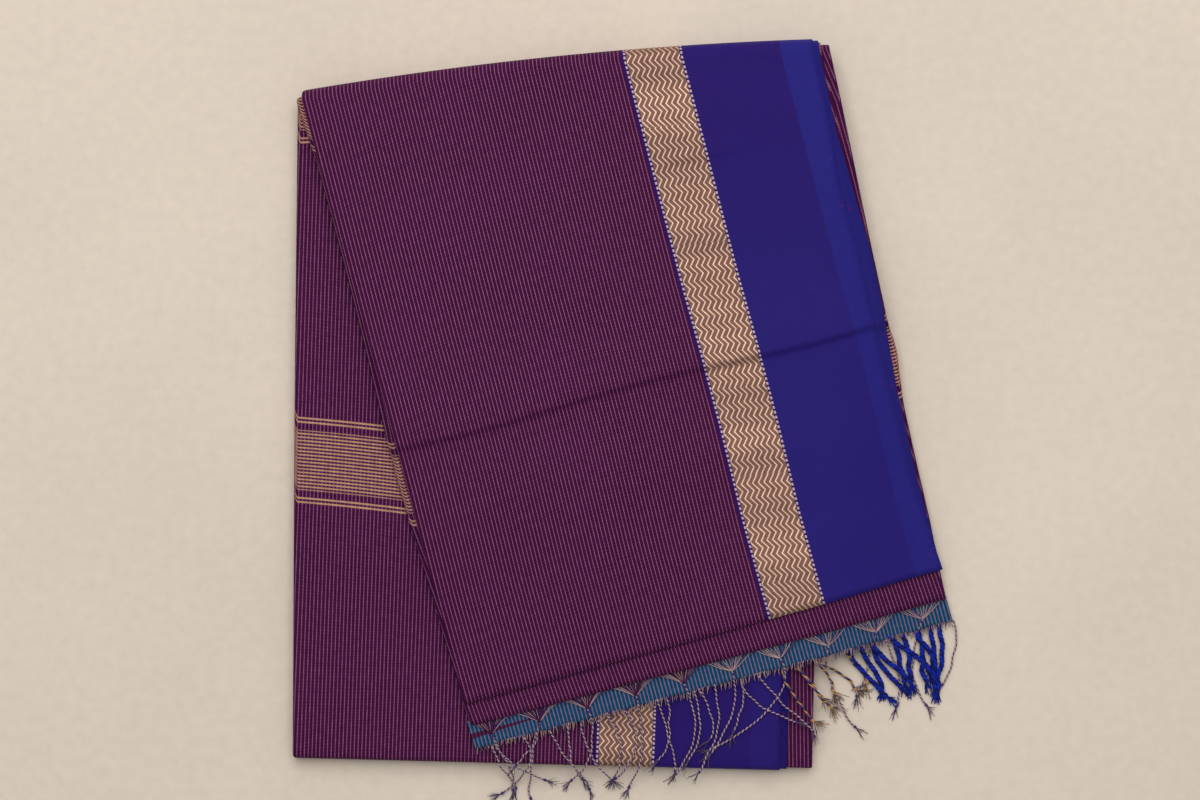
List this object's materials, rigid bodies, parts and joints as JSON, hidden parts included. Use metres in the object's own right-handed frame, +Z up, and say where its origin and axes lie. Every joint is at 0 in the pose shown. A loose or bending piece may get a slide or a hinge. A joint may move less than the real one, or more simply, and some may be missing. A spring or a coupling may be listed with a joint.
{
  "type": "folded silk sari",
  "caption": "Folded sari of striped purple silk lying flat, with a gold zigzag band and blue border along the selvedge, a teal heading band and knotted fringe at its end.",
  "frame": {"origin": "centre of the outline's bounding box, on the table under the cloth", "axes": "+Z up from the table, +Y along the lower flap towards the top fold, +X across it towards the selvedges"},
  "size_m": [0.3752, 0.4424, 0.0205],
  "materials": {
    "sari_cloth": "satin silk",
    "heading_band": "satin silk",
    "knotted_fringe": "twisted silk thread",
    "border_fringe": "twisted silk thread"
  },
  "bodies": {
    "root": {"sari_cloth": "sari_cloth", "heading_band": "heading_band", "knotted_fringe": "knotted_fringe", "border_fringe": "border_fringe"}
  },
  "joints": []
}
